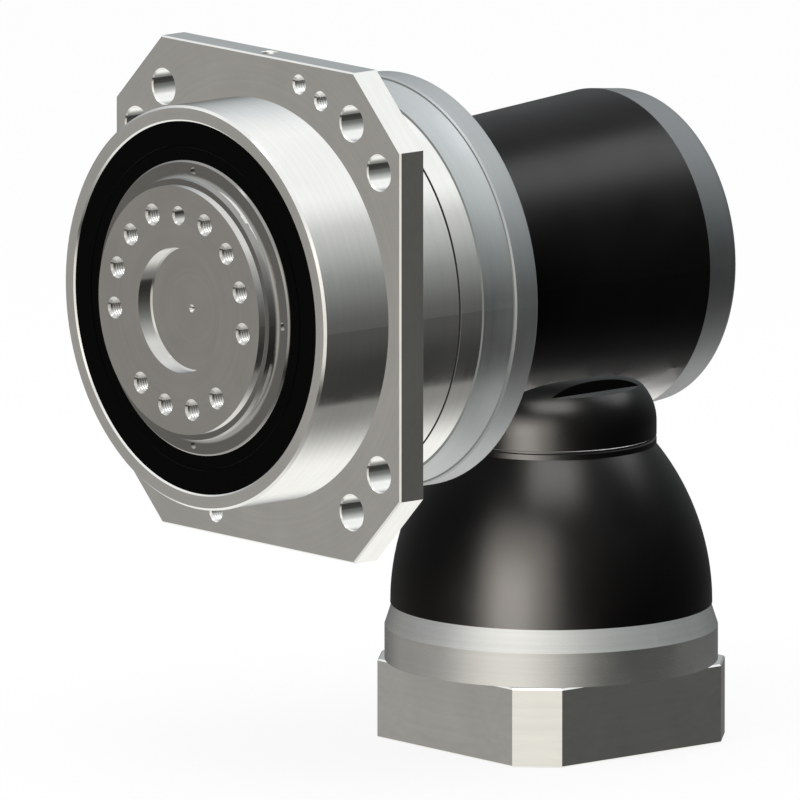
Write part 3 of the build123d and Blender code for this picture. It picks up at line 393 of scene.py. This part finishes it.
def powder_coat(name, colour, roughness):
    """Satin powder coat: a low orange peel, and slow patches in its tone and gloss."""
    material, tree, shader = material_tree(name)
    place = object_place(tree)
    peel = noise(tree, place, peel_size, detail=2.0)
    slow = noise(tree, place, coat_patch_size, detail=3.0)
    tree.links.new(shade(tree, slow, colour, 0.85, 1.2), shader.inputs["Base Color"])
    tree.links.new(math_node(tree, "ADD", spread(tree, slow, -0.03, 0.03), roughness), shader.inputs["Roughness"])
    shader.inputs["Specular IOR Level"].default_value = coat_shine
    bump(tree, shader, peel, peel_depth)
    return material


black_coat = powder_coat("satin_black_powder_coat", black_colour, coat_roughness)
dress("hypoid_housing", black_coat)

# Screws and nuts of the drive and of its covers: black oxide steel, threaded into the castings.
oxide_colour = (0.035, 0.035, 0.036)


def black_oxide(name, colour):
    """Blackened steel: nearly black metal with brown patches and a dry sheen."""
    material, tree, shader = material_tree(name)
    place = object_place(tree)
    patches = noise(tree, place, 3 * mm, detail=4.0)
    shader.inputs["Metallic"].default_value = 0.85
    tree.links.new(shade(tree, patches, colour, 0.8, 1.5), shader.inputs["Base Color"])
    tree.links.new(spread(tree, patches, 0.34, 0.48), shader.inputs["Roughness"])
    bump(tree, shader, patches, 0.01 * mm)
    return material


oxide_steel = black_oxide("black_oxide_steel", oxide_colour)
for fastener in (
    "crown_screws", "crown_nut", "rear_cover_screws", "motor_flange_screws", "clamp_screw", "pinion_nut",
):
    dress(fastener, oxide_steel)

# Rear cover: turned aluminium lid with a rounded edge, screwed to the cone from behind.
cover_colour = (0.215, 0.225, 0.229)
cover_roughness = 0.38
cover_aluminium = turned_metal("turned_cover_aluminium", cover_colour, cover_roughness, lines=0.04)
dress("rear_cover", cover_aluminium)

# Pinion shaft with its bearings, spacer and clamping hub: ground steel on the motor axis, so its
# turning lines run round that axis.
motor_centre = (28 * mm, 168.5 * mm, 0)
pinion_steel = turned_metal(
    "ground_pinion_steel", gear_colour, gear_roughness, motor_centre, "Z", gear_lines, gear_depth,
)
tower_ground_steel = turned_metal(
    "ground_tower_steel", ground_colour, ground_roughness, motor_centre, "Z", ground_lines, ground_depth,
)
for piece in ("pinion_shaft", "pinion_spacer", "clamping_hub"):
    dress(piece, pinion_steel)
for piece in (
    "pinion_upper_bearing_inner_ring", "pinion_upper_bearing_rollers", "pinion_upper_bearing_outer_ring",
    "pinion_lower_bearing_inner_ring", "pinion_lower_bearing_rollers", "pinion_lower_bearing_outer_ring",
):
    dress(piece, tower_ground_steel)
dress("input_seal", moulded_rubber("input_seal_rubber", seal_colour, motor_centre, "Z"))

# Motor adapter ring: turned aluminium, seated in the dome's foot, with a chamfer down to its own
# foot on the motor flange.
adapter_colour = (0.64, 0.64, 0.63)
adapter_roughness = 0.24
adapter_aluminium = turned_metal(
    "turned_adapter_aluminium", adapter_colour, adapter_roughness, motor_centre, "Z", lines=0.04,
)
dress("motor_adapter", adapter_aluminium)

# Motor flange: aluminium block with milled sides and turned faces, screwed up into the adapter
# ring. A black plug closes the access hole of the clamp screw.
flange_block_colour = (0.79, 0.785, 0.765)
flange_block_roughness = 0.14
plug_roughness = 0.5
flange_block = turned_metal(
    "milled_motor_flange", flange_block_colour, flange_block_roughness, motor_centre, "Z", lines=0.03,
)
dress("motor_flange", flange_block)
dress("access_plug", powder_coat("black_plug_plastic", black_colour, plug_roughness))

# The pieces mirror the studio and not each other, which keeps their turned faces even
for shown_piece in (*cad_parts.values(), flange_threads, plate_threads, lifting_thread):
    shown_piece.visible_glossy = False

# Studio: a pale floor under the motor flange and a round studio of soft panels. The camera sees
# plain white. Metal sees the panels: a white ceiling and floor card, a grey wall and a dark screen
# on the right, which give turned steel its bright and dark bands.
low_corner = Vector(cad_box[0])
high_corner = Vector(cad_box[1])
part_centre = (low_corner + high_corner) / 2
floor_size = 14.0
floor_z = low_corner.z
shadow_share = 0.16


def studio_white(name, share):
    """Matt white that the camera sees as plain white with that share of its real shadow."""
    material = bpy.data.materials.new(name)
    material.use_nodes = True
    tree = material.node_tree
    tree.nodes.clear()
    output = tree.nodes.new("ShaderNodeOutputMaterial")
    matt = tree.nodes.new("ShaderNodeBsdfDiffuse")
    matt.inputs["Color"].default_value = (0.9, 0.9, 0.9, 1)
    glow = tree.nodes.new("ShaderNodeEmission")
    glow.inputs["Strength"].default_value = 1.0
    rays = tree.nodes.new("ShaderNodeLightPath")
    seen = math_node(tree, "MAXIMUM", rays.outputs["Is Camera Ray"], rays.outputs["Is Transmission Ray"])
    mix = tree.nodes.new("ShaderNodeMixShader")
    tree.links.new(math_node(tree, "MULTIPLY", seen, 1 - share), mix.inputs["Fac"])
    tree.links.new(matt.outputs["BSDF"], mix.inputs[1])
    tree.links.new(glow.outputs["Emission"], mix.inputs[2])
    tree.links.new(mix.outputs["Shader"], output.inputs["Surface"])
    return material


half = floor_size / 2
floor_mesh = bpy.data.meshes.new("floor")
floor_corners = [(-half, -half, floor_z), (half, -half, floor_z), (half, half, floor_z), (-half, half, floor_z)]
floor_mesh.from_pydata(floor_corners, [], [(0, 1, 2, 3)])
floor = bpy.data.objects.new("floor", floor_mesh)
bpy.context.scene.collection.objects.link(floor)
floor_mesh.materials.append(studio_white("studio_floor", shadow_share))
floor.visible_glossy = False
floor.visible_diffuse = False
floor.visible_shadow = False

# Colour of the studio's walls against the height of the direction, from -1 straight down to 1
# straight up: the dark screen on the right, the wall beside it, and the walls behind and in front.
screen_wall = (
    (-1.00, (0.95, 0.95, 0.92)), (-0.72, (0.60, 0.60, 0.58)), (-0.655, (0.27, 0.27, 0.26)),
    (-0.648, (0.042, 0.042, 0.040)), (-0.42, (0.050, 0.050, 0.048)), (-0.17, (0.100, 0.100, 0.096)),
    (0.00, (0.17, 0.175, 0.17)), (0.22, (0.30, 0.315, 0.31)), (0.56, (0.70, 0.715, 0.71)),
    (0.70, (1.14, 1.16, 1.16)), (1.00, (1.0, 1.02, 1.03)),
)
side_wall = (
    (-1.00, (0.60, 0.60, 0.58)), (-0.74, (0.30, 0.30, 0.29)), (-0.60, (0.24, 0.24, 0.23)),
    (-0.17, (0.13, 0.13, 0.125)), (0.00, (0.20, 0.20, 0.20)), (0.22, (0.32, 0.335, 0.33)),
    (0.56, (0.74, 0.755, 0.76)), (0.70, (1.14, 1.16, 1.16)), (1.00, (1.0, 1.02, 1.03)),
)
back_wall = (
    (-1.00, (1.0, 1.0, 0.98)), (-0.75, (1.12, 1.12, 1.09)), (-0.55, (1.06, 1.06, 1.03)),
    (-0.35, (0.50, 0.50, 0.49)), (-0.17, (0.11, 0.11, 0.11)), (0.05, (0.26, 0.27, 0.27)),
    (0.18, (0.43, 0.46, 0.47)), (0.50, (0.86, 0.89, 0.91)), (0.70, (1.16, 1.18, 1.19)),
    (1.00, (1.0, 1.02, 1.03)),
)
front_wall = (
    (-1.00, (1.0, 1.0, 0.98)), (-0.75, (1.10, 1.10, 1.07)), (-0.55, (0.95, 0.95, 0.92)),
    (-0.35, (0.52, 0.51, 0.49)), (-0.17, (0.355, 0.345, 0.325)), (0.05, (0.36, 0.355, 0.34)),
    (0.22, (0.44, 0.45, 0.45)), (0.50, (0.82, 0.84, 0.85)), (0.70, (1.12, 1.14, 1.15)),
    (1.00, (1.0, 1.02, 1.03)),
)
world = bpy.data.worlds.new("studio")
bpy.context.scene.world = world
world.use_nodes = True
world_tree = world.node_tree
world_tree.nodes.clear()
world_output = world_tree.nodes.new("ShaderNodeOutputWorld")
direction = world_tree.nodes.new("ShaderNodeTexCoord")
direction_parts = world_tree.nodes.new("ShaderNodeSeparateXYZ")
world_tree.links.new(direction.outputs["Generated"], direction_parts.inputs["Vector"])
height = math_node(world_tree, "MULTIPLY_ADD", direction_parts.outputs["Z"], 0.5)
height.node.inputs[2].default_value = 0.5
squares = [
    math_node(world_tree, "POWER", math_node(world_tree, "ABSOLUTE", direction_parts.outputs[letter], 0), 2)
    for letter in "XY"
]
level_part = math_node(world_tree, "SQRT", math_node(world_tree, "ADD", *squares), 0)
level_part = math_node(world_tree, "MAXIMUM", level_part, 0.001)
bearing_x = math_node(world_tree, "DIVIDE", direction_parts.outputs["X"], level_part)
bearing_y = math_node(world_tree, "DIVIDE", direction_parts.outputs["Y"], level_part)


def wall(steps):
    """The studio's colour against height, straight between the steps."""
    ramp = world_tree.nodes.new("ShaderNodeValToRGB")
    world_tree.links.new(height, ramp.inputs["Fac"])
    elements = ramp.color_ramp.elements
    while len(elements) < len(steps):
        elements.new(0.5)
    for element, (level, colour) in zip(elements, steps):
        element.position = (level + 1) / 2
    for element, (level, colour) in zip(elements, steps):
        element.color = (*colour, 1)
    return ramp.outputs["Color"]


def share_of(value, start, end):
    """0 where the value is under start, 1 past end, soft in between."""
    share = world_tree.nodes.new("ShaderNodeMapRange")
    share.interpolation_type = "SMOOTHSTEP"
    share.inputs["From Min"].default_value = start
    share.inputs["From Max"].default_value = end
    world_tree.links.new(value, share.inputs["Value"])
    return share.outputs["Result"]


def between(value, start, end, first, second):
    """The first colour where the value is under start, the second past end, soft in between."""
    mix = world_tree.nodes.new("ShaderNodeMix")
    mix.data_type = "RGBA"
    world_tree.links.new(share_of(value, start, end), mix.inputs["Factor"])
    world_tree.links.new(first, mix.inputs["A"])
    world_tree.links.new(second, mix.inputs["B"])
    return mix.outputs["Result"]


# A warm glow on the front wall, a little to the right: a power of the cosine from its middle
glow_bearing = radians(-64)
glow_sharpness = 4
glow_colour = (0.97, 0.94, 0.87)
front_to_back = between(bearing_y, -0.25, 0.35, wall(front_wall), wall(back_wall))
left_to_side = between(bearing_x, -0.30, 0.50, front_to_back, wall(side_wall))
walls = between(bearing_x, 0.555, 0.575, left_to_side, wall(screen_wall))
toward_glow = math_node(
    world_tree, "ADD", math_node(world_tree, "MULTIPLY", bearing_x, cos(glow_bearing)),
    math_node(world_tree, "MULTIPLY", bearing_y, sin(glow_bearing)),
)
toward_glow = math_node(world_tree, "POWER", math_node(world_tree, "MAXIMUM", toward_glow, 0), glow_sharpness)
glow_band = math_node(
    world_tree, "MULTIPLY", share_of(direction_parts.outputs["Z"], -0.60, -0.30),
    math_node(world_tree, "SUBTRACT", 1, share_of(direction_parts.outputs["Z"], 0.30, 0.70)),
)
with_glow = world_tree.nodes.new("ShaderNodeMix")
with_glow.data_type = "RGBA"
with_glow.blend_type = "ADD"
world_tree.links.new(math_node(world_tree, "MULTIPLY", toward_glow, glow_band), with_glow.inputs["Factor"])
world_tree.links.new(walls, with_glow.inputs["A"])
with_glow.inputs["B"].default_value = (*glow_colour, 1)
studio_light = world_tree.nodes.new("ShaderNodeBackground")
world_tree.links.new(with_glow.outputs["Result"], studio_light.inputs["Color"])
studio_light.inputs["Strength"].default_value = 1.0
surround = world_tree.nodes.new("ShaderNodeBackground")
surround.inputs["Color"].default_value = (1, 1, 1, 1)
surround.inputs["Strength"].default_value = 1.0
world_rays = world_tree.nodes.new("ShaderNodeLightPath")
shown = math_node(
    world_tree, "MAXIMUM", world_rays.outputs["Is Camera Ray"], world_rays.outputs["Is Transmission Ray"],
)
world_mix = world_tree.nodes.new("ShaderNodeMixShader")
world_tree.links.new(shown, world_mix.inputs["Fac"])
world_tree.links.new(studio_light.outputs["Background"], world_mix.inputs[1])
world_tree.links.new(surround.outputs["Background"], world_mix.inputs[2])
world_tree.links.new(world_mix.outputs["Shader"], world_output.inputs["Surface"])


def softbox(name, bearing_angle, elevation, distance, width, height, watts, tint):
    """A rectangular area lamp on a sphere round the part, facing its centre."""
    a, e = radians(bearing_angle), radians(elevation)
    outward = Vector((cos(a) * cos(e), sin(a) * cos(e), sin(e)))
    lamp = bpy.data.lights.new(name, "AREA")
    lamp.shape = "RECTANGLE"
    lamp.size = width
    lamp.size_y = height
    lamp.energy = watts
    lamp.color = tint
    holder = bpy.data.objects.new(name, lamp)
    holder.matrix_world = Matrix.Translation(part_centre + outward * distance) @ (
        outward.to_track_quat("Z", "Y").to_matrix().to_4x4()
    )
    bpy.context.scene.collection.objects.link(holder)
    return holder


# A soft lamp overhead for the whole part. The black coat takes little light, so it has lamps of its
# own: a small and a wide warm one in front, one high behind the part, one above and one low behind.
# Each line gives bearing and elevation in degrees, width, height, watts and tint. They are set for
# the photograph's view: seen from behind, the two in front burn out along the cone's edges.
coat_lamp_distance = 2.0
softbox("top_softbox", -70, 78, 1.6, 1.2, 1.2, 8, (1, 1, 1))
coat_only = bpy.data.collections.new("lit_by_coat_lamps")
coat_only.objects.link(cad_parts["hypoid_housing"])
for name, bearing_angle, elevation, width, height, watts, tint in (
    ("coat_warm_lamp", -67, -2, 1.0, 1.5, 262, (1.0, 0.93, 0.85)),
    ("coat_wide_lamp", -64, 2, 2.1, 2.5, 640, (1.0, 0.94, 0.87)),
    ("coat_high_lamp", 73, 46, 1.0, 1.0, 44, (0.97, 1.0, 0.98)),
    ("coat_top_lamp", -34, 62, 1.3, 1.0, 205, (1.0, 0.97, 0.93)),
    ("coat_low_lamp", 115, -42, 0.9, 0.9, 26, (1.0, 0.98, 0.95)),
):
    lamp = softbox(name, bearing_angle, elevation, coat_lamp_distance, width, height, watts, tint)
    lamp.light_linking.receiver_collection = coat_only

# Camera: the photograph was taken with nearly parallel rays from the right of the output flange
# and a little above, so a very long lens stands far away.
camera_azimuth = radians(49.9)
camera_elevation = radians(10.13)
frame_width = 0.400
camera_distance = 16.0
view_centre_right = 71.05 * mm
view_centre_up = -50.3 * mm
view_centre_deep = 61 * mm
right = Vector((cos(camera_azimuth), sin(camera_azimuth), 0))
forward = Vector((
    -sin(camera_azimuth) * cos(camera_elevation), cos(camera_azimuth) * cos(camera_elevation), -sin(camera_elevation),
))
up = right.cross(forward)
camera = bpy.data.cameras.new("camera")
sensor_width = 36
camera.sensor_width = sensor_width
camera.lens = sensor_width * camera_distance / frame_width
camera.clip_end = 100
camera_holder = bpy.data.objects.new("camera", camera)
target = right * view_centre_right + up * view_centre_up + forward * view_centre_deep
turn = Matrix((right, up, -forward)).transposed().to_4x4()
camera_holder.matrix_world = Matrix.Translation(target - forward * camera_distance) @ turn
bpy.context.scene.collection.objects.link(camera_holder)
bpy.context.scene.camera = camera_holder
bpy.context.scene.view_settings.view_transform = "Standard"
